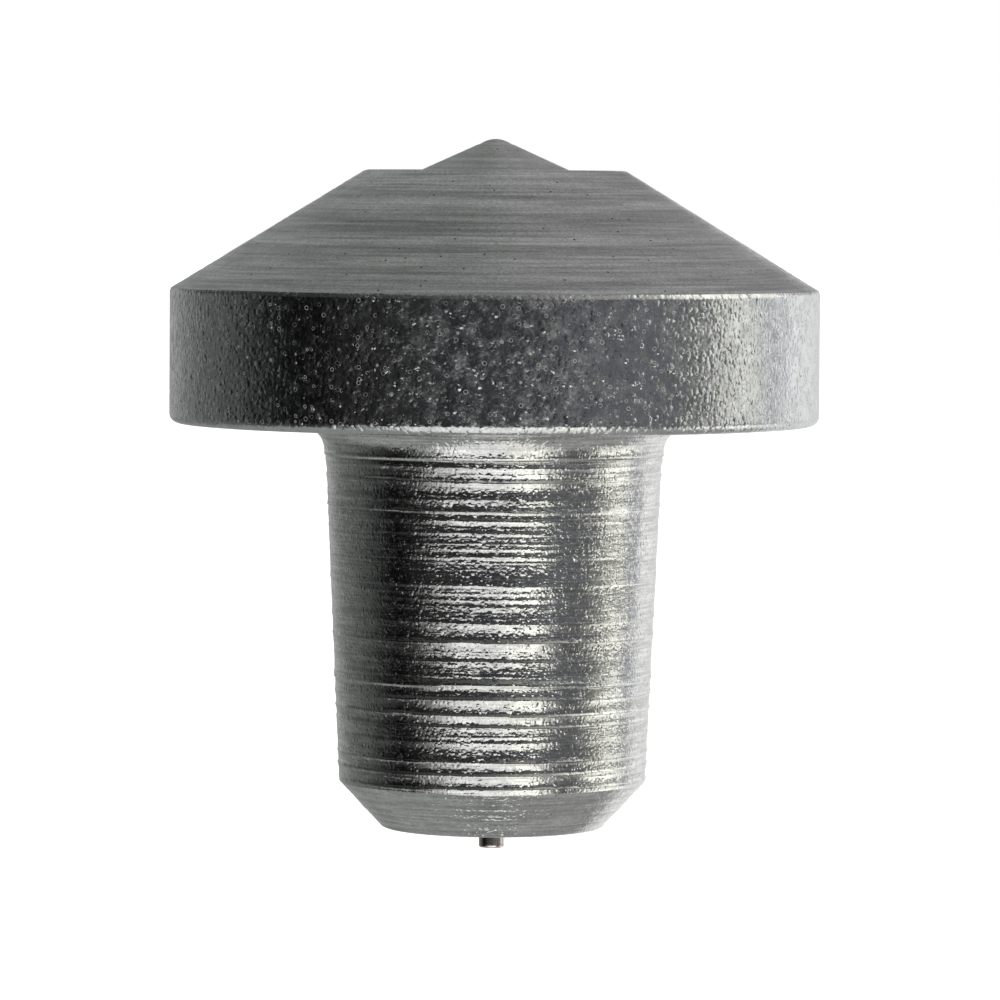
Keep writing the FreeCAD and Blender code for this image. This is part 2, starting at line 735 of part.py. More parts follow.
def build_thrust_needle_cage():
    """Flat cage with one radial pocket for each needle."""
    thickness = size("needle_cage_thickness")
    lift = (size("needle_space") - thickness) / 2
    body = disc_ring("thrust_needle_cage", NEEDLE_BASE + lift, radius("needle_cage_bore"),
                     radius("needle_cage_outer"), thickness)
    near = size("needle_inner_radius") - size("pocket_gap")
    far = size("needle_inner_radius") + size("needle_length") + size("pocket_gap")
    half = radius("needle_diameter") + size("pocket_gap")
    pocket_outline = new_sketch(body, "needle_pocket_outline", "XY_Plane")
    add_outline(pocket_outline, [(near, -half), (far, -half), (far, half), (near, half)])
    pocket = pocket_up(body, "needle_pocket", pocket_outline, thickness)
    repeat_about_axis(body, "needle_pocket_pattern", pocket, size("needles"))
    return body


def build_bearing_balls():
    """Balls between the two raceways."""
    body = new_body("bearing_balls", BEARING_BASE)
    ball = body.newObject("PartDesign::AdditiveSphere", "ball")
    ball.AttachmentSupport = [(origin_feature(body, "XY_Plane"), "")]
    ball.MapMode = "FlatFace"
    bind(ball, "Radius", radius("ball_diameter"))
    bind(ball, ".AttachmentOffset.Base.x", radius("ball_circle"))
    bind(ball, ".AttachmentOffset.Base.z", size("bearing_width") / 2)
    doc.recompute()
    repeat_about_axis(body, "ball_pattern", ball, size("balls"))
    return body


def build_bearing_cage():
    """Cage with one round pocket for each ball."""
    width = size("ball_cage_width")
    lift = (size("bearing_width") - width) / 2
    body = disc_ring("bearing_cage", BEARING_BASE + lift, radius("ball_cage_bore"),
                     radius("ball_cage_outer"), width)
    outline = new_sketch(body, "ball_pocket_outline", "YZ_Plane")
    add_circle(outline, ZERO, width / 2, radius("ball_diameter") + size("pocket_gap"))
    pocket = pocket_up(body, "ball_pocket", outline, size("ball_cage_outer"))
    repeat_about_axis(body, "ball_pocket_pattern", pocket, size("balls"))
    return body


# ---------------------------------------------------------------------------------------
# Pilot: what slides along the axis when the work pushes on the point
# ---------------------------------------------------------------------------------------

def build_pilot_point():
    """Hardened point with a collar, a spring pocket and a boss for the rod."""
    body = new_body("pilot_point", COLLAR_BASE)
    collar = radius("pilot_collar_diameter")
    collar_top = size("pilot_collar_height")
    guide = radius("pilot_diameter")
    cone_base = NOSE_FACE - COLLAR_BASE
    pocket = radius("spring_pocket_diameter")
    pocket_top = size("spring_pocket_depth")
    boss = radius("rod_boss_diameter")
    boss_base = pocket_top - size("rod_boss_height")
    rod = radius("rod_diameter") + size("fit_gap")
    hole_top = pocket_top + size("rod_hole_rise")
    half_angle = size("pilot_cone_angle") / 2
    tip = size("pilot_tip_radius")
    sharp_top = cone_base + guide * cosine(half_angle) / sine(half_angle)
    tip_centre = sharp_top - tip / sine(half_angle)
    tip_start = 11
    turn(body, "pilot_turned", [
        (ZERO, hole_top),
        (rod, hole_top),
        (rod, boss_base),
        (boss, boss_base),
        (boss, pocket_top),
        (pocket, pocket_top),
        (pocket, ZERO),
        (collar, ZERO),
        (collar, collar_top),
        (guide, collar_top),
        (guide, cone_base),
        (tip * cosine(half_angle), tip_centre + tip * sine(half_angle)),
        (ZERO, tip_centre + tip),
    ], {tip_start: tip})
    return body


def build_tail_pin():
    """Rod fixed in the pilot; its free end shows past the small end of the shank."""
    base = SMALL_END - size("rod_exposed")
    length = POCKET_TOP + size("rod_hole_rise") - base
    body = new_body("tail_pin", base)
    rod = radius("rod_diameter")
    turn(body, "rod_turned", [(ZERO, ZERO), (rod, ZERO), (rod, length), (ZERO, length)])
    bevel_edges(body, "rod_end_bevel", [(rod, ZERO)], size("rod_end_chamfer"))
    return body


# ---------------------------------------------------------------------------------------
# Build, check and write
# ---------------------------------------------------------------------------------------

def build_all():
    """Every sub-part, one body each."""
    lower_shield = BEARING_BASE + size("shield_setback")
    upper_shield = BEARING_TOP - size("shield_setback") - size("shield_thickness")
    return [
        build_taper_shank(),
        build_tail_bush(),
        build_thrust_washer("thrust_washer_lower", FLANGE_TOP),
        build_bearing_inner_ring(),
        build_bearing_snap_ring(),
        build_bull_head(),
        build_cover_ring(),
        build_ring_lock_screw(),
        build_felt_seal(),
        build_thrust_washer("thrust_washer_upper", UPPER_WASHER_BASE),
        build_bearing_outer_ring(),
        build_bearing_shield("bearing_shield_lower", lower_shield),
        build_bearing_shield("bearing_shield_upper", upper_shield),
        build_seat_snap_ring(),
        build_spring_seat(),
        build_pilot_spring(),
        build_thrust_needles(),
        build_thrust_needle_cage(),
        build_bearing_balls(),
        build_bearing_cage(),
        build_pilot_point(),
        build_tail_pin(),
    ]


def check_document():
    """Stop if any object of the document failed to compute."""
    for item in doc.Objects:
        if "Invalid" in item.State or "Error" in item.State:
            raise RuntimeError(f"{item.Label} failed: {item.State}")


def write_parts(bodies):
    """Check each body's shape and write it to its own file."""
    for body in bodies:
        if body.Shape.isNull() or not body.Shape.isValid():
            raise RuntimeError(f"{body.Label} has no valid shape")
    os.makedirs("parts", exist_ok=True)
    for body in bodies:
        body.Shape.exportStep(f"parts/{body.Label}.step")


bodies = build_all()
doc.recompute()
check_document()
write_parts(bodies)
for body in bodies:
    box = body.Shape.BoundBox
    print(f"{body.Label:22s} solids {len(body.Shape.Solids):2d}  volume {body.Shape.Volume:9.2f}"
          f"  z {box.ZMin:7.3f} to {box.ZMax:7.3f}  width {box.XLength:6.2f}")
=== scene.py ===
"""Looks of the bull-nose live center: turned and zinc-plated steel in a white studio.

Lengths are in metres, in the part's own frame: the axis is Z, the origin is in the gauge plane
of the taper, and the point is up. The camera looks along +Y.
"""

import math

import bpy
import numpy as np
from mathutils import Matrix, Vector


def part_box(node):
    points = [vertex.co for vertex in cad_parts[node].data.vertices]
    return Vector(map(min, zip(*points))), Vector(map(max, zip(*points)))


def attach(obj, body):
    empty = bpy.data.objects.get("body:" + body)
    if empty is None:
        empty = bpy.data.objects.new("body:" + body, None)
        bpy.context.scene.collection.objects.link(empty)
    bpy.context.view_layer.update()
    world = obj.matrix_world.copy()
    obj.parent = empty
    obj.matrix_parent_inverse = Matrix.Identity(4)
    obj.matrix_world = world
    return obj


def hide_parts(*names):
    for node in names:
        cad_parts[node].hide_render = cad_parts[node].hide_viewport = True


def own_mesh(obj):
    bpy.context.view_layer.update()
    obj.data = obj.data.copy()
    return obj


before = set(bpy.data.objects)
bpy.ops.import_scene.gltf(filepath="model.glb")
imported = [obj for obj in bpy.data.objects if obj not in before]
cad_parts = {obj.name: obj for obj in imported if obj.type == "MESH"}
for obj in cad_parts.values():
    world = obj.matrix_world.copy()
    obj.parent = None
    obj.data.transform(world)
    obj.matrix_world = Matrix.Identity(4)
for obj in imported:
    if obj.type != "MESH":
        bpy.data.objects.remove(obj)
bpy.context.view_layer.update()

MM = 0.001
SEED = 11


# ---------------------------------------------------------------------------------------
# Sizes read from the frame
# ---------------------------------------------------------------------------------------

def reach(node):
    """Radius of a round node about Z."""
    low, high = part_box(node)
    return max(high[0], -low[0])


def base(node):
    """Lowest height of a node."""
    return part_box(node)[0][2]


def top(node):
    """Highest height of a node."""
    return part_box(node)[1][2]


RIM_RADIUS = reach("bull_head")
UNDERSIDE = base("bull_head")
NOSE_FACE = top("bull_head")
SMALL_END = base("taper_shank")
ROD_END = base("tail_pin")

# Sizes of the shank
GAUGE_RADIUS = 9.0 * MM
TAPER_PER_SIDE = 1 / 22
NECK_RADIUS = 10.8 * MM
NECK_BLEND = 1.6 * MM
END_RADIUS = 5.95 * MM
END_BEVEL = 2.5 * MM
END_EDGE_WIDTH = 0.1 * MM       # small bevel between the end face and the large bevel
END_EDGE_HEIGHT = 0.06 * MM
ROD_BORE_RADIUS = 1.0 * MM
BOSS_RADIUS = 7.45 * MM
BOSS_HEIGHT = 0.4 * MM
LAND_RADIUS = 3.9 * MM
SPIGOT_RADIUS = 2.98 * MM
SEAL_GAP = 0.05 * MM

# Sizes of the head
NOSE_RADIUS = 7.0 * MM
NOSE_EDGE = 0.12 * MM
CONE_HALF_ANGLE = math.radians(58.5)
RIM_ROUNDING = 0.5 * MM
CONE_ROUNDING = 0.5 * MM
CONE_ROUNDING_TURN = 35.0       # degrees, where the cone cuts the rounding off
CRISP_STEP = 0.02 * MM          # first step past a crisp edge
CRISP_TURN = 2.0                # degrees, last step of the rounding before that edge
HUB_WALL = 1.4 * MM
CAVITY_PLAY = 0.2 * MM
FIT_GAP = 0.02 * MM
GUIDE_GAP = 0.03 * MM

# Sizes of the pilot, its rod and its spring
PILOT_RADIUS = 4.0 * MM
PILOT_HALF_ANGLE = math.radians(65.6)
PILOT_TIP = 1.4 * MM
POCKET_RADIUS = 2.9 * MM
POCKET_DEPTH = 1.9 * MM
COLLAR_STEP = 2.2 * MM          # spring seat to the top of the pilot's collar
COLLAR_THICKNESS = 0.6 * MM
PILOT_TRAVEL = COLLAR_STEP - COLLAR_THICKNESS
STOP_GAP = 0.01 * MM            # left between the collar and its stop
ROD_EDGE = 0.12 * MM
AXIS_RADIUS = 0.004 * MM        # solid pieces are closed with this small hole on the axis
SPRING_WIRE = 0.4 * MM
SPRING_MEAN_RADIUS = 2.35 * MM
SPRING_TURNS = 3.5

COARSE = 3 * MM                 # longest step along hidden outlines


# ---------------------------------------------------------------------------------------
# Outlines and turned meshes
# ---------------------------------------------------------------------------------------

def line(start, finish, step):
    """Points from start up to, but not including, finish."""
    start, finish = np.array(start), np.array(finish)
    count = max(1, round(float(np.linalg.norm(finish - start)) / step))
    return [tuple(start + (finish - start) * i / count) for i in range(count)]


def arc(centre, radius, first, last, count):
    """Points along an arc, angles in degrees, without the last point."""
    angles = np.radians(np.linspace(first, last, count + 1)[:-1])
    return [(centre[0] + radius * math.cos(a), centre[1] + radius * math.sin(a)) for a in angles]


def polyline(corners, step):
    """Points along straight edges through the corners, without the last corner."""
    points = []
    for start, finish in zip(corners, corners[1:]):
        points += line(start, finish, step)
    return points


def outward_normals(outline):
    """Unit normals of a closed (radius, height) outline that runs counter-clockwise."""
    before = np.roll(outline, 1, axis=0)
    after = np.roll(outline, -1, axis=0)
    along = after - before
    normals = np.stack([along[:, 1], -along[:, 0]], axis=1)
    return normals / np.linalg.norm(normals, axis=1)[:, None]


def turned(name, outline, segments, relief=None):
    """A closed body of revolution; 'relief' gives the height of the surface marks."""
    outline = np.array(outline)
    angles = np.arange(segments) * 2 * math.pi / segments
    rings = np.repeat(outline[:, None, :], segments, axis=1)
    if relief is not None:
        marks = relief(outline, angles)
        rings = rings + marks[:, :, None] * outward_normals(outline)[:, None, :]
    across = rings[:, :, 0]
    points = np.stack([across * np.cos(angles), across * np.sin(angles), rings[:, :, 1]], axis=2)
    count = len(outline)
    ring, spoke = np.meshgrid(np.arange(count), np.arange(segments), indexing="ij")
    next_ring = (ring + 1) % count
    next_spoke = (spoke + 1) % segments
    quads = np.stack([
        ring * segments + spoke,
        ring * segments + next_spoke,
        next_ring * segments + next_spoke,
        next_ring * segments + spoke,
    ], axis=-1).reshape(-1, 4)
    mesh = bpy.data.meshes.new(name)
    mesh.from_pydata(points.reshape(-1, 3).tolist(), [], quads.tolist())
    mesh.validate()
    mesh.polygons.foreach_set("use_smooth", [True] * len(mesh.polygons))
    mesh.update()
    piece = bpy.data.objects.new(name, mesh)
    bpy.context.scene.collection.objects.link(piece)
    return piece


# ---------------------------------------------------------------------------------------
# Turning marks
# ---------------------------------------------------------------------------------------

def smooth_noise(rng, positions, spacing):
    """Smooth random curve with knots 'spacing' apart."""
    low = positions.min()
    count = int((positions.max() - low) / spacing) + 4
    knots = rng.normal(size=count)
    place = (positions - low) / spacing
    left = np.floor(place).astype(int)
    part = place - left
    ease = part * part * (3 - 2 * part)
    return knots[left % count] * (1 - ease) + knots[(left + 1) % count] * ease


def scallops(rng, travel, pitch, spread, depth):
    """Hollows left by the tool's round nose between cusps about 'pitch' apart."""
    cusps = [travel.min()]
    while cusps[-1] < travel.max():
        cusps.append(cusps[-1] + pitch * rng.uniform(1 - spread, 1 + spread))
    cusps = np.array(cusps)
    depths = depth * rng.uniform(0.25, 1.5, len(cusps))
    lean = rng.uniform(0.25, 0.75, len(cusps))
    cell = np.clip(np.searchsorted(cusps, travel) - 1, 0, len(cusps) - 2)
    across = (travel - cusps[cell]) / (cusps[cell + 1] - cusps[cell])
    return depths[cell] * (((across - lean[cell]) / 0.5) ** 2 - 0.5)


def turning_marks(seed, passes, scores, wander, along):
    """Relief of a turned surface: hollows of several passes and single deeper scores.

    'passes' are (pitch, spread, depth) rows, 'wander' is how far the marks stray from true
    rings, and 'along' picks the distance that the tool travelled from the outline's points.
    """
    def relief(outline, angles):
        rng = np.random.default_rng(seed)
        straight = along(outline)
        travel = np.repeat(straight[:, None], len(angles), axis=1)
        strength = np.ones_like(travel)
        for turns in (1, 2, 3, 5, 8, 13):
            start = rng.uniform(0, 2 * math.pi)
            drift = smooth_noise(rng, straight, 1.3 * MM)[:, None]
            bend = np.sin(turns * angles[None, :] + start + 1.5 * drift)
            travel += wander / turns * bend
            strength += 0.16 * drift * bend
        marks = np.zeros_like(travel)
        for pitch, spread, depth in passes:
            marks += scallops(rng, travel, pitch, spread, depth)
        for place in rng.uniform(straight.min(), straight.max(), scores):
            width = rng.uniform(0.05, 0.12) * MM
            depth = rng.uniform(0.003, 0.010) * MM
            marks -= depth * np.exp(-((travel - place) / width) ** 2)
        return marks * strength
    return relief


def only_where(relief, mask):
    """Keep the marks where 'mask' is 1 for the outline's points."""
    def limited(outline, angles):
        return relief(outline, angles) * mask(outline)[:, None]
    return limited


# ---------------------------------------------------------------------------------------
# Pieces
# ---------------------------------------------------------------------------------------

def build_head():
    """Rim, bull cone and nose, hollow inside, with its marks."""
    guide = PILOT_RADIUS + GUIDE_GAP
    chamber = reach("pilot_point") + CAVITY_PLAY
    chamber_top = top("spring_seat") + COLLAR_STEP
    bearing = reach("bearing_outer_ring") + FIT_GAP
    bearing_base, bearing_top = base("bearing_outer_ring"), top("bearing_outer_ring")
    hub = reach("bearing_outer_ring") + HUB_WALL
    cavity = reach("thrust_washer_upper") + CAVITY_PLAY
    cavity_top = top("thrust_washer_upper")
    thread = reach("cover_ring") + FIT_GAP
    thread_top = top("cover_ring")
    cone_width = RIM_RADIUS - NOSE_RADIUS
    rim_top = NOSE_FACE - cone_width / math.tan(CONE_HALF_ANGLE)
    turn = math.radians(CONE_ROUNDING_TURN)
    inset = CONE_ROUNDING * (1 - math.cos(turn))
    edge_height = rim_top + inset / math.tan(CONE_HALF_ANGLE)
    centre = (RIM_RADIUS - CONE_ROUNDING, edge_height - CONE_ROUNDING * math.sin(turn))
    cone_edge = (RIM_RADIUS - inset, edge_height)
    cone_start = (cone_edge[0] - CRISP_STEP * math.sin(CONE_HALF_ANGLE),
                  cone_edge[1] + CRISP_STEP * math.cos(CONE_HALF_ANGLE))
    cone_end = (NOSE_RADIUS + NOSE_EDGE * math.sin(CONE_HALF_ANGLE),
                NOSE_FACE - NOSE_EDGE * math.cos(CONE_HALF_ANGLE))
    nose_start = (NOSE_RADIUS - NOSE_EDGE, NOSE_FACE)
    last_turn = CONE_ROUNDING_TURN - CRISP_TURN
    rim_start = UNDERSIDE + RIM_ROUNDING
    outline = []
    outline += line((thread, UNDERSIDE), (RIM_RADIUS - RIM_ROUNDING, UNDERSIDE), 0.2 * MM)
    outline += arc((RIM_RADIUS - RIM_ROUNDING, rim_start), RIM_ROUNDING, -90, 0, 8)
    outline += line((RIM_RADIUS, rim_start), (RIM_RADIUS, centre[1]), 0.13 * MM)
    outline += arc(centre, CONE_ROUNDING, 0, last_turn, 8)
    outline += arc(centre, CONE_ROUNDING, last_turn, CONE_ROUNDING_TURN, 1)
    outline += [cone_edge]
    outline += line(cone_start, cone_end, 0.085 * MM)
    outline += line(cone_end, nose_start, NOSE_EDGE)
    outline += line(nose_start, (guide, NOSE_FACE), 0.1 * MM)
    outline += polyline([
        (guide, NOSE_FACE),
        (guide, chamber_top),
        (chamber, chamber_top),
        (chamber, bearing_top),
        (bearing, bearing_top),
        (bearing, bearing_base),
        (hub, bearing_base),
        (hub, cavity_top),
        (cavity, cavity_top),
        (cavity, thread_top),
        (thread, thread_top),
        (thread, UNDERSIDE),
    ], COARSE)
    marks_start = rim_top + 0.3 * MM
    marks = turning_marks(
        SEED, passes=[(0.9 * MM, 0.5, 0.003 * MM), (0.25 * MM, 0.3, 0.001 * MM)],
        scores=60, wander=0.02 * MM, along=lambda points: -points[:, 0])
    on_cone = only_where(marks, lambda points: (points[:, 1] > marks_start).astype(float))
    piece = turned("head_shell", outline, 360, on_cone)
    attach(piece, "head")
    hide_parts("bull_head")
    return piece


def taper_radius(height):
    """Radius of the taper at a height."""
    return GAUGE_RADIUS + height * TAPER_PER_SIDE


def build_shank():
    """Taper with its turning marks, neck, flange, boss and spigot."""
    flange = reach("taper_shank")
    flange_top = base("thrust_washer_lower")
    flange_base = top("felt_seal") + SEAL_GAP
    boss_top = flange_top + BOSS_HEIGHT
    land_top = base("bearing_inner_ring")
    spigot_top = top("taper_shank")
    bevel_height = SMALL_END + END_BEVEL
    bevel_top = (taper_radius(bevel_height), bevel_height)
    slope = math.degrees(math.atan(TAPER_PER_SIDE))
    blend_centre = (taper_radius(UNDERSIDE) + NECK_BLEND, UNDERSIDE - NECK_BLEND)
    taper_end = (taper_radius(blend_centre[1]), blend_centre[1])
    face_edge = (END_RADIUS - END_EDGE_WIDTH, SMALL_END)
    bevel_base = (END_RADIUS + END_EDGE_WIDTH / 2, SMALL_END + END_EDGE_HEIGHT)
    outline = []
    outline += line((ROD_BORE_RADIUS, SMALL_END), face_edge, 0.6 * MM)
    outline += line(face_edge, bevel_base, 0.05 * MM)
    outline += line(bevel_base, bevel_top, 0.06 * MM)
    outline += line(bevel_top, taper_end, 0.06 * MM)
    outline += arc(blend_centre, NECK_BLEND, 180 + slope, 90, 14)
    outline += polyline([
        (blend_centre[0], UNDERSIDE),
        (NECK_RADIUS, UNDERSIDE),
        (NECK_RADIUS, flange_base),
        (flange, flange_base),
        (flange, flange_top),
        (BOSS_RADIUS, flange_top),
        (BOSS_RADIUS, boss_top),
        (LAND_RADIUS, boss_top),
        (LAND_RADIUS, land_top),
        (SPIGOT_RADIUS, land_top),
        (SPIGOT_RADIUS, spigot_top),
        (ROD_BORE_RADIUS, spigot_top),
        (ROD_BORE_RADIUS, SMALL_END),
    ], COARSE)
    marks_end, marks_inside = UNDERSIDE - 0.3 * MM, END_RADIUS - 0.2 * MM
    fade, on_bevel = 0.5 * MM, 0.6

    def strength(points):
        """Full on the taper, weaker on the bevel, faded out in the neck, none inside."""
        across, height = points[:, 0], points[:, 1]
        return (np.clip((marks_end - height) / fade, 0, 1)
                * np.where(height < bevel_height, on_bevel, 1)
                * (across > marks_inside))

    marks = turning_marks(
        SEED + 1,
        passes=[(0.95 * MM, 0.5, 0.024 * MM), (0.36 * MM, 0.6, 0.006 * MM),
                (0.17 * MM, 0.3, 0.0015 * MM)],
        scores=60, wander=0.05 * MM, along=lambda points: points[:, 1])
    piece = turned("shank", outline, 240, only_where(marks, strength))
    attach(piece, "arbor")
    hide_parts("taper_shank")
    return piece


def build_pilot():
    """Blunt point with fine concentric marks, collar and spring pocket."""
    low = base("pilot_point") + STOP_GAP
    collar = reach("pilot_point")
    collar_top = top("spring_seat") + COLLAR_STEP
    pocket_top = low + POCKET_DEPTH
    sharp_top = NOSE_FACE + PILOT_RADIUS / math.tan(PILOT_HALF_ANGLE)
    centre = (0.0, sharp_top - PILOT_TIP / math.sin(PILOT_HALF_ANGLE))
    touch = 90 - math.degrees(PILOT_HALF_ANGLE)
    tip_start = (PILOT_TIP * math.cos(PILOT_HALF_ANGLE),
                 centre[1] + PILOT_TIP * math.sin(PILOT_HALF_ANGLE))
    tip = (AXIS_RADIUS, centre[1] + PILOT_TIP)
    outline = []
    outline += polyline([
        (AXIS_RADIUS, pocket_top),
        (POCKET_RADIUS, pocket_top),
        (POCKET_RADIUS, low),
        (collar, low),
        (collar, collar_top),
        (PILOT_RADIUS, collar_top),
        (PILOT_RADIUS, NOSE_FACE),
    ], 1 * MM)
    outline += line((PILOT_RADIUS, NOSE_FACE), tip_start, 0.05 * MM)
    outline += arc(centre, PILOT_TIP, touch, 90, 14)[1:]
    outline += line(tip, (AXIS_RADIUS, pocket_top), 1 * MM)
    smooth_tip = 0.5 * MM
    marks = turning_marks(
        SEED + 2, passes=[(0.5 * MM, 0.5, 0.003 * MM), (0.2 * MM, 0.3, 0.0015 * MM)],
        scores=14, wander=0.02 * MM, along=lambda points: points[:, 0])
    on_cone = only_where(marks, lambda points: (
        (points[:, 1] > NOSE_FACE) & (points[:, 0] > smooth_tip)).astype(float))
    piece = turned("pilot", outline, 192, on_cone)
    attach(piece, "pilot")
    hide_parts("pilot_point")
    return piece


def build_rod():
    """Polished rod whose end shows under the shank."""
    radius = reach("tail_pin")
    rod_top = top("tail_pin")
    edge_top = ROD_END + ROD_EDGE
    seen_top = ROD_END + 2 * MM
    outline = []
    outline += line((AXIS_RADIUS, ROD_END), (radius - ROD_EDGE, ROD_END), 0.2 * MM)
    outline += arc((radius - ROD_EDGE, edge_top), ROD_EDGE, -90, 0, 6)
    outline += line((radius, edge_top), (radius, seen_top), 0.1 * MM)
    outline += polyline([
        (radius, seen_top),
        (radius, rod_top),
        (AXIS_RADIUS, rod_top),
        (AXIS_RADIUS, ROD_END),
    ], 4 * MM)
    piece = turned("rod", outline, 96)
    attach(piece, "pilot")
    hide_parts("tail_pin")
    return piece


def build_spring():
    """Compression spring between its seat and the pilot's pocket."""
    low = top("spring_seat")
    free = top("pilot_spring") - low
    rise = free - SPRING_WIRE
    steps, sides = 180, 16
    turn = np.linspace(0, 1, steps + 1)[:, None]
    around = np.arange(sides)[None, :] * 2 * math.pi / sides
    angle = turn * SPRING_TURNS * 2 * math.pi
    across = SPRING_MEAN_RADIUS + SPRING_WIRE / 2 * np.cos(around)
    height = low + SPRING_WIRE / 2 + turn * rise + SPRING_WIRE / 2 * np.sin(around)
    points = np.stack([across * np.cos(angle), across * np.sin(angle), height], axis=2)
    first, side = np.meshgrid(np.arange(steps), np.arange(sides), indexing="ij")
    next_side = (side + 1) % sides
    quads = np.stack([
        first * sides + side,
        (first + 1) * sides + side,
        (first + 1) * sides + next_side,
        first * sides + next_side,
    ], axis=-1).reshape(-1, 4)
    last = steps * sides
    faces = quads.tolist() + [list(range(sides)), list(range(last + sides - 1, last - 1, -1))]
    mesh = bpy.data.meshes.new("spring")
    mesh.from_pydata(points.reshape(-1, 3).tolist(), [], faces)
    mesh.polygons.foreach_set("use_smooth", [True] * len(quads) + [False, False])
    mesh.update()
    piece = bpy.data.objects.new("spring", mesh)
    bpy.context.scene.collection.objects.link(piece)
    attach(piece, "head")
    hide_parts("pilot_spring")
    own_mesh(piece)
    return piece


# ---------------------------------------------------------------------------------------
# Materials
# ---------------------------------------------------------------------------------------

class Nodes:
    """Short hand for building a material's node tree."""

    def __init__(self, name):
        self.material = bpy.data.materials.new(name)
        self.material.use_nodes = True
        self.tree = self.material.node_tree
        self.shader = self.tree.nodes["Principled BSDF"]
        coordinates = self.tree.nodes.new("ShaderNodeTexCoord")
        self.place = coordinates.outputs["Object"]

    def node(self, kind, inputs=None, **settings):
        made = self.tree.nodes.new(kind)
        for key, value in settings.items():
            setattr(made, key, value)
        for key, value in (inputs or {}).items():
            self.put(made.inputs[key], value)
        return made

    def put(self, socket, value):
        if isinstance(value, bpy.types.NodeSocket):
            self.tree.links.new(value, socket)
        else:
            socket.default_value = value

    def maths(self, operation, first, second=0.0, **settings):
        return self.node("ShaderNodeMath", {0: first, 1: second}, operation=operation,
                         **settings).outputs[0]

    def vector(self, operation, first, second):
        made = self.node("ShaderNodeVectorMath", {0: first}, operation=operation)
        self.put(made.inputs["Scale"] if operation == "SCALE" else made.inputs[1], second)
        return made.outputs[0]

    def noise(self, size, detail=2.0, place=None):
        """Cloudy 0 to 1 pattern with patches about 'size' across."""
        return self.node("ShaderNodeTexNoise", {
            "Vector": place or self.place, "Scale": 1 / size, "Detail": detail}).outputs["Fac"]

    def cells(self, size):
        """Random cells about 'size' across: distance, centre and a colour for each cell."""
        return self.node("ShaderNodeTexVoronoi", {"Vector": self.place, "Scale": 1 / size})

    def chance(self, cell, channel):
        """One 0 to 1 number for each cell, out of its random colour."""
        return self.node("ShaderNodeSeparateColor",
                         {"Color": cell.outputs["Color"]}).outputs[channel]

    def ramp(self, value, *stops):
        made = self.node("ShaderNodeValToRGB", {"Fac": value})
        elements = made.color_ramp.elements
        while len(elements) < len(stops):
            elements.new(0.5)
        for element, (position, colour) in zip(elements, stops):
            element.position = position
            element.color = (*colour, 1)
        return made.outputs["Color"]

    def stretch(self, value, low, high, first=0.0, last=1.0):
        """Map a value from first..last to low..high."""
        return self.node("ShaderNodeMapRange", {
            "Value": value, "From Min": first, "From Max": last,
            "To Min": low, "To Max": high}).outputs[0]

    def mix(self, amount, first, second):
        """Blend two colours."""
        return self.node("ShaderNodeMix", {0: amount, 6: first, 7: second},
                         data_type="RGBA").outputs[2]

    def bump(self, height, distance, strength=1.0, normal=None):
        """Surface normal with a small relief; 'normal' is the one it starts from."""
        made = self.node("ShaderNodeBump",
                         {"Height": height, "Distance": distance, "Strength": strength})
        if normal is not None:
            self.put(made.inputs["Normal"], normal)
        return made.outputs["Normal"]

    def finish(self, colour, roughness, normal, metal):
        """Give the shader its inputs and return the material."""
        for key, value in (("Base Color", colour), ("Roughness", roughness),
                           ("Normal", normal), ("Metallic", metal)):
            self.put(self.shader.inputs[key], value)
        return self.material

    def drawn_out(self, flat):
        """Place squeezed across the axis, so that a pattern runs along the turning marks."""
        return self.vector("MULTIPLY", self.place, (flat, flat, 1))

    def spots(self, spacing, radius, softness):
        """1 within 'radius' of scattered points about 'spacing' apart, 0 outside."""
        distance = self.cells(spacing).outputs["Distance"]
        inside = self.maths("SUBTRACT", radius / spacing, distance)
        return self.maths("ADD", self.maths("DIVIDE", inside, softness / spacing), 0.5,
                          use_clamp=True)

    def highlight_rings(self, spacing, radius, width):
        """Painted highlights: thin pale rings about 'radius' across scattered points, as bright
        as chance has it.
        """
        cell = self.cells(spacing)
        off = self.maths("SUBTRACT", cell.outputs["Distance"], radius / spacing)
        off = self.maths("DIVIDE", self.maths("ABSOLUTE", off), width / spacing)
        highlight_ring = self.maths("SUBTRACT", 1.0, off, use_clamp=True)
        return self.maths("MULTIPLY", highlight_ring, self.maths("POWER", self.chance(cell, 0), 1.4))

    def tilted(self, flakes, domes):
        """Surface normal turned at random in each flake and fanned out over each dome.

        Flakes are (size, amount) rows and domes are (size, amount, rarity, upright) rows:
        'upright' says how much a dome turns the normal up and down, 1 as much as sideways.
        """
        turned_by = (0.0, 0.0, 0.0)
        for size, amount in flakes:
            centred = self.vector("SUBTRACT", self.cells(size).outputs["Color"], (0.5, 0.5, 0.5))
            turned_by = self.vector("ADD", self.vector("SCALE", centred, amount), turned_by)
        for size, amount, rarity, upright in domes:
            cell = self.cells(size)
            outward = self.vector("SUBTRACT", self.place, cell.outputs["Position"])
            chance = self.maths("POWER", self.chance(cell, 1), rarity)
            strength = self.maths("MULTIPLY", chance, amount / size)
            outward = self.vector("MULTIPLY", outward, (1, 1, upright))
            turned_by = self.vector("ADD", self.vector("SCALE", outward, strength), turned_by)
        in_world = self.node(
            "ShaderNodeVectorTransform", {"Vector": turned_by}, vector_type="VECTOR",
            convert_from="OBJECT", convert_to="WORLD").outputs[0]
        normal = self.node("ShaderNodeNewGeometry").outputs["Normal"]
        return self.vector("NORMALIZE", self.vector("ADD", normal, in_world), (0, 0, 0))
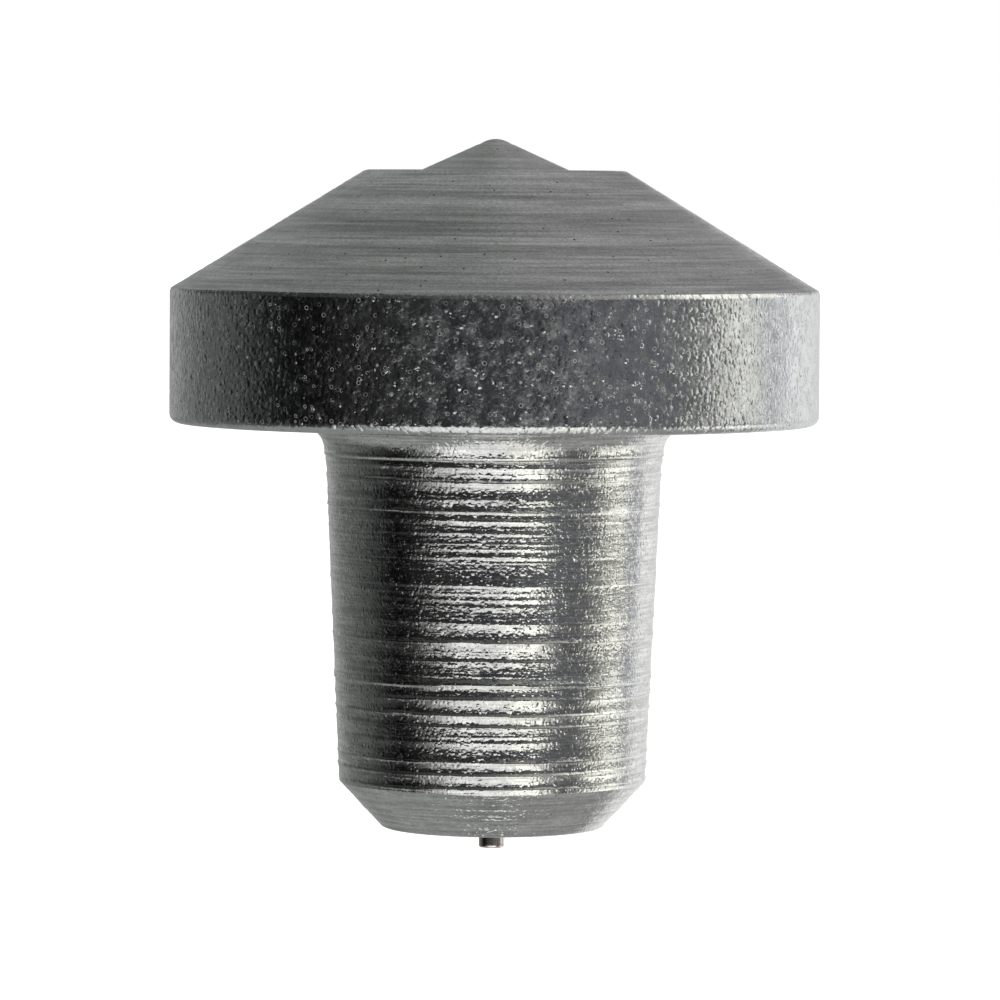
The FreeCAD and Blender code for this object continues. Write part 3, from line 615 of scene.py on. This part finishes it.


# Pits are painted as near-black dots of shade; the mesh has no hollows for them.
PIT_SPACING, PIT_EDGE, PIT_SHADE_COLOUR = 0.8 * MM, 0.03 * MM, (0.05, 0.05, 0.04, 1)
STAIN_SPACING, STAIN_EDGE, STAIN_COLOUR = 1.3 * MM, 0.06 * MM, (0.55, 0.47, 0.20, 1)
# Pale rings painted into the colour as highlights of glinting specks.
HIGHLIGHT_RING_SPACING, HIGHLIGHT_RING_WIDTH, HIGHLIGHT_RING_COLOUR = 0.46 * MM, 0.03 * MM, (0.92, 0.91, 0.86, 1)
PIT_ROUGHNESS = 0.6


def zinc(name, colour, roughness, haze=0.3, cloud=0.06, flakes=(), domes=(), marks=(),
         pits=0.0, stains=0.0, highlight_rings=0.0):
    """Zinc plate: crystals, nodules, turning marks with painted shade in their hollows, grain,
    pits painted as dark shade, yellow stains and fine rings of painted highlight.

    'marks' are (width, flat, colour change, relief) rows: 'flat' is 1 for round grain and below
    1 for marks drawn out around the axis, and the colour change is painted shade in the hollows
    of the marks. 'haze' is how much the gloss varies and 'cloud' how much the colour does. The
    last three arguments are the radii of the spots: near-black pits of painted shade, yellow
    stains and pale rings of painted highlight.
    """
    nodes = Nodes(name)
    dark = tuple(c * (1 - cloud) for c in colour)
    light = tuple(min(1.0, c * (1 + cloud)) for c in colour)
    base = nodes.ramp(nodes.noise(0.9 * MM, 3.0), (0.35, dark), (0.65, light))
    rough = nodes.stretch(nodes.noise(0.7 * MM, 4.0), roughness * (1 - haze),
                          roughness * (1 + haze), first=0.3, last=0.75)
    normal = nodes.tilted(flakes, domes)
    for width, flat, change, relief in marks:
        mark = nodes.noise(width, 2.0, nodes.drawn_out(flat))
        # Painted shade: the colour is darker in the hollows of the marks, where the bump sinks.
        groove_shade = nodes.ramp(mark, (0.35, (1 - change,) * 3), (0.65, (1.0, 1.0, 1.0)))
        base = nodes.vector("MULTIPLY", base, groove_shade)
        normal = nodes.bump(mark, relief, normal=normal)
    metal = 1.0
    if pits:
        # Painted shade: near-black dots stand for the shade inside pits.
        pit_shade = nodes.spots(PIT_SPACING, pits, PIT_EDGE)
        base = nodes.mix(pit_shade, base, PIT_SHADE_COLOUR)
        rough = nodes.maths("MAXIMUM", rough, nodes.maths("MULTIPLY", pit_shade, PIT_ROUGHNESS))
    if stains:
        stain = nodes.spots(STAIN_SPACING, stains, STAIN_EDGE)
        base = nodes.mix(stain, base, STAIN_COLOUR)
    # Painted highlights: pale, less metallic rings mixed into the colour.
    if highlight_rings:
        highlight_ring = nodes.highlight_rings(HIGHLIGHT_RING_SPACING, highlight_rings, HIGHLIGHT_RING_WIDTH)
        base = nodes.mix(highlight_ring, base, HIGHLIGHT_RING_COLOUR)
        metal = nodes.maths("SUBTRACT", 1.0, highlight_ring)
    return nodes.finish(base, rough, normal, metal)


def steel(name, colour, roughness):
    """Ground or drawn steel, or another plain metal, with faint marks around the axis."""
    nodes = Nodes(name)
    around = nodes.vector("MULTIPLY", nodes.place, (1, 1, 30))
    marks = nodes.noise(2.0 * MM, 3.0, around)
    dark = tuple(c * 0.9 for c in colour)
    return nodes.finish(
        nodes.ramp(marks, (0.3, dark), (0.7, colour)),
        nodes.stretch(marks, roughness * 0.7, roughness * 1.3),
        nodes.bump(marks, 0.01 * MM, strength=0.05), 1.0)


def felt(name, colour):
    """Oiled wool felt."""
    nodes = Nodes(name)
    fibres = nodes.noise(0.15 * MM, 8.0)
    dark = tuple(c * 0.6 for c in colour)
    nodes.put(nodes.shader.inputs["Sheen Weight"], 0.3)
    return nodes.finish(
        nodes.ramp(fibres, (0.3, dark), (0.7, colour)),
        nodes.stretch(fibres, 0.8, 1.0),
        nodes.bump(fibres, 0.05 * MM, strength=0.6), 0.0)


def assign(piece, material):
    """Give every slot of a piece this material."""
    if not piece.data.materials:
        piece.data.materials.append(material)
    for slot in piece.material_slots:
        slot.material = material


# ---------------------------------------------------------------------------------------
# Studio
# ---------------------------------------------------------------------------------------

def build_world():
    """White studio: dark front, bright right side and floor, grey left side and ceiling."""
    world = bpy.data.worlds.new("studio")
    bpy.context.scene.world = world
    world.use_nodes = True
    tree = world.node_tree
    tree.nodes.clear()
    new, link = tree.nodes.new, tree.links.new

    def put(socket, value):
        if isinstance(value, bpy.types.NodeSocket):
            link(value, socket)
        else:
            socket.default_value = value

    def maths(operation, first, second=0.0):
        made = new("ShaderNodeMath")
        made.operation = operation
        put(made.inputs[0], first)
        put(made.inputs[1], second)
        return made.outputs[0]

    def around(turn, stops):
        """Light level around the horizon; stops are (degrees from the front, level, tint)."""
        made = new("ShaderNodeValToRGB")
        link(turn, made.inputs["Fac"])
        elements = made.color_ramp.elements
        while len(elements) < len(stops):
            elements.new(0.5)
        for element, (degrees, level, tint) in zip(elements, stops):
            element.position = degrees / 360 + 0.5
            element.color = (*(level * c for c in tint), 1)
        return made.outputs["Color"]

    def blend(amount, first, second):
        made = new("ShaderNodeMix")
        made.data_type = "RGBA"
        put(made.inputs["Factor"], amount)
        put(made.inputs[6], first)
        put(made.inputs[7], second)
        return made.outputs[2]

    coordinates = new("ShaderNodeTexCoord")
    split = new("ShaderNodeSeparateXYZ")
    link(coordinates.outputs["Generated"], split.inputs[0])
    toward = maths("MULTIPLY", split.outputs["Y"], -1.0)
    angle = maths("ARCTAN2", split.outputs["X"], toward)
    turn = maths("ADD", maths("DIVIDE", angle, 2 * math.pi), 0.5)
    plain, cool, warm = (1, 1, 1), (0.94, 1.0, 0.97), (1.0, 1.0, 0.93)
    blue, green = (0.92, 0.96, 1.05), (0.95, 1.0, 0.97)
    horizon = around(turn, [
        (-180, 0.42, plain), (-157, 0.42, plain), (-145, 0.31, cool), (-130, 0.175, cool),
        (-112, 0.13, cool), (-98, 0.074, cool), (-84, 0.014, cool), (-69, 0.002, plain),
        (-57, 0.016, plain), (-34, 0.030, plain), (-10, 0.042, blue), (9, 0.062, blue),
        (22, 0.11, blue), (34, 0.16, blue), (70, 0.18, blue), (80, 0.34, warm),
        (88, 0.8, warm), (97, 1.3, warm), (106, 1.0, warm), (112, 0.55, blue),
        (121, 0.6, blue), (127, 1.2, plain), (146, 1.0, plain), (158, 0.85, plain),
        (180, 0.8, plain),
    ])
    shelf = around(turn, [
        (-180, 0.28, green), (-165, 0.31, green), (-152, 0.28, green), (-136, 0.09, green),
        (-110, 0.06, green), (-75, 0.035, green), (-40, 0.075, plain), (0, 0.13, plain),
        (37, 0.42, warm), (56, 0.5, warm), (77, 1.15, warm), (92, 1.7, warm),
        (115, 1.5, warm), (135, 0.7, plain), (152, 0.33, plain), (180, 0.34, plain),
    ])
    floor = around(turn, [
        (-180, 0.4, plain), (-150, 0.25, green), (-120, 0.17, green), (-95, 0.08, green),
        (-72, 0.02, plain), (-56, 0.08, plain), (-38, 0.6, plain), (-22, 1.15, plain),
        (8, 1.1, plain), (20, 1.7, warm), (34, 1.6, warm), (46, 0.3, plain),
        (62, 0.1, green), (74, 0.4, warm), (85, 1.35, warm), (106, 1.6, warm),
        (118, 0.9, plain), (130, 0.95, plain), (180, 0.9, plain),
    ])
    seam = around(turn, [
        (-180, 0.42, plain), (-150, 0.3, green), (-120, 0.16, green), (-95, 0.07, green),
        (-75, 0.006, plain), (-57, 0.015, plain), (-20, 0.045, blue), (20, 0.07, blue),
        (44, 0.12, blue), (70, 0.14, plain), (84, 0.22, warm), (110, 0.3, plain),
        (122, 0.6, plain), (130, 0.95, plain), (180, 0.85, plain),
    ])
    depth = around(turn, [
        (-180, 0.32, green), (-90, 0.36, green), (-55, 0.36, green), (-30, 1.1, plain),
        (34, 1.15, warm), (58, 0.38, plain), (180, 0.34, plain),
    ])
    ceiling = around(turn, [
        (-180, 0.29, green), (-60, 0.22, green), (60, 0.28, plain), (150, 0.35, plain),
        (180, 0.35, plain),
    ])

    def rise(start, finish):
        """0 below the height 'start' of the direction, 1 above 'finish'."""
        made = new("ShaderNodeMapRange")
        made.interpolation_type = "SMOOTHSTEP"
        link(split.outputs["Z"], made.inputs["Value"])
        made.inputs["From Min"].default_value = math.sin(math.radians(start))
        made.inputs["From Max"].default_value = math.sin(math.radians(finish))
        return made.outputs[0]

    deep = blend(rise(-87, -77), (0.27, 0.285, 0.275, 1), depth)
    below = blend(rise(-42, -26), deep, floor)
    edge = blend(rise(-14.5, -10.5), below, seam)
    lower = blend(rise(-8.5, -5), edge, horizon)
    upper = blend(rise(40, 60), shelf, ceiling)
    whole = blend(rise(6, 12), lower, upper)
    path = new("ShaderNodeLightPath")
    seen = blend(path.outputs["Is Camera Ray"], whole, (1.0, 1.0, 1.0, 1))
    background = new("ShaderNodeBackground")
    link(seen, background.inputs["Color"])
    output = new("ShaderNodeOutputWorld")
    link(background.outputs[0], output.inputs["Surface"])


FLOOR_REACH = 3.0
FLOOR_GAP = 0.02 * MM


def build_floor():
    """White floor just under the rod's lowest place, seen by the camera only."""
    height = ROD_END - PILOT_TRAVEL - FLOOR_GAP
    corners = [(x * FLOOR_REACH, y * FLOOR_REACH, height)
               for x, y in ((-1, -1), (1, -1), (1, 1), (-1, 1))]
    mesh = bpy.data.meshes.new("floor")
    mesh.from_pydata(corners, [], [(0, 1, 2, 3)])
    floor = bpy.data.objects.new("floor", mesh)
    bpy.context.scene.collection.objects.link(floor)
    material = bpy.data.materials.new("floor_white")
    material.use_nodes = True
    shader = material.node_tree.nodes["Principled BSDF"]
    shader.inputs["Base Color"].default_value = (0.8, 0.8, 0.8, 1)
    shader.inputs["Roughness"].default_value = 1.0
    shader.inputs["Specular IOR Level"].default_value = 0.0
    shader.inputs["Emission Color"].default_value = (1, 1, 1, 1)
    shader.inputs["Emission Strength"].default_value = 1.0
    floor.data.materials.append(material)
    floor.visible_glossy = False
    floor.visible_diffuse = False


CAMERA_DISTANCE = 318.0 * MM
CAMERA_HEIGHT = 15.9 * MM
CAMERA_AIM = Vector((0.34 * MM, 0, -0.74 * MM))
CAMERA_ROLL = math.radians(0.35)
CAMERA_LENS = 212.4             # with a sensor 36 wide


def build_camera():
    """Long lens about nine head widths away, a little above the height of the gauge plane."""
    data = bpy.data.cameras.new("camera")
    data.sensor_width = 36
    data.lens = CAMERA_LENS
    data.clip_start = 0.01
    camera = bpy.data.objects.new("camera", data)
    camera.location = (CAMERA_AIM.x, -CAMERA_DISTANCE, CAMERA_HEIGHT)
    direction = CAMERA_AIM - camera.location
    camera.rotation_euler = direction.to_track_quat("-Z", "Y").to_euler()
    camera.rotation_euler.rotate_axis("Z", CAMERA_ROLL)
    bpy.context.scene.collection.objects.link(camera)
    bpy.context.scene.camera = camera


# ---------------------------------------------------------------------------------------
# Scene
# ---------------------------------------------------------------------------------------

# The head's zinc comes as two copies of one plate: darker on the rim and the cover ring as
# painted shade, lighter on the faces that point up as painted light.
RIM_ZINC_SHADED = zinc(
    "zinc_rim_shaded", (0.66, 0.67, 0.67), 0.20, haze=0.6, cloud=0.08,
    highlight_rings=0.105 * MM, pits=0.05 * MM,
    flakes=[(0.5 * MM, 0.03), (0.11 * MM, 0.08)],
    domes=[(0.27 * MM, 0.50, 1.5, 0.25), (0.2 * MM, 0.9, 14.0, 0.4)],
    marks=[(0.12 * MM, 1.0, 0.14, 0.002 * MM)])
CONE_ZINC_LIT = zinc(
    "zinc_cone_lit", (0.96, 0.98, 0.96), 0.25, pits=0.06 * MM, stains=0.08 * MM,
    flakes=[(0.1 * MM, 0.08)],
    marks=[(0.42 * MM, 0.02, 0.29, 0.004 * MM), (0.13 * MM, 0.02, 0.35, 0.003 * MM),
           (0.10 * MM, 0.7, 0.27, 0.002 * MM)])
SHANK_ZINC = zinc(
    "zinc_shank", (0.92, 0.92, 0.90), 0.11, pits=0.04 * MM,
    flakes=[(0.35 * MM, 0.05)],
    domes=[(0.17 * MM, 0.40, 2.0, 1.0)],
    marks=[(0.13 * MM, 0.03, 0.30, 0.005 * MM), (0.12 * MM, 0.25, 0.16, 0.006 * MM),
           (0.12 * MM, 1.0, 0.20, 0.006 * MM)])
POINT_STEEL = zinc(
    "point_steel", (0.81, 0.82, 0.81), 0.32, pits=0.05 * MM,
    flakes=[(0.1 * MM, 0.08)],
    marks=[(0.16 * MM, 0.02, 0.30, 0.003 * MM), (0.10 * MM, 0.7, 0.22, 0.002 * MM)])
CONE_SLOPE = 0.7                # least upward part of the normal of the cone and the nose; faces above it get the lighter copy of the zinc, painted light

head = build_head()
assign(head, RIM_ZINC_SHADED)
head.data.materials.append(CONE_ZINC_LIT)
# Faces that point up get the lighter copy: painted light on the cone and the nose.
for face in head.data.polygons:
    if face.normal.z > CONE_SLOPE:
        face.material_index = 1
assign(build_shank(), SHANK_ZINC)
assign(build_pilot(), POINT_STEEL)
assign(build_rod(), steel("rod_steel", (0.80, 0.74, 0.70), 0.14))
spring = build_spring()

CARRIED_OVER = {
    "cover_ring": RIM_ZINC_SHADED,
    "tail_bush": steel("bronze", (0.55, 0.36, 0.17), 0.4),
    "thrust_washer_lower": steel("ground_steel", (0.6, 0.6, 0.62), 0.25),
    "bearing_cage": steel("cage_brass", (0.7, 0.52, 0.24), 0.35),
    "bearing_balls": steel("ball_steel", (0.75, 0.75, 0.77), 0.05),
    "thrust_needle_cage": steel("pressed_steel", (0.42, 0.40, 0.37), 0.4),
    "bearing_shield_lower": steel("shield_steel", (0.58, 0.58, 0.6), 0.32),
    "bearing_snap_ring": steel("spring_steel", (0.16, 0.16, 0.18), 0.35),
    "ring_lock_screw": steel("black_steel", (0.05, 0.05, 0.055), 0.45),
    "felt_seal": felt("wool_felt", (0.2, 0.19, 0.17)),
}
SAME_FINISH = {
    "thrust_washer_upper": "thrust_washer_lower",
    "bearing_inner_ring": "thrust_washer_lower",
    "bearing_outer_ring": "thrust_washer_lower",
    "spring_seat": "thrust_washer_lower",
    "thrust_needles": "bearing_balls",
    "bearing_shield_upper": "bearing_shield_lower",
    "seat_snap_ring": "bearing_snap_ring",
}
for node, source in SAME_FINISH.items():
    CARRIED_OVER[node] = CARRIED_OVER[source]
for node, material in CARRIED_OVER.items():
    assign(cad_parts[node], material)
assign(spring, CARRIED_OVER["bearing_snap_ring"])

build_world()
build_floor()
build_camera()
bpy.context.scene.view_settings.view_transform = "Standard"
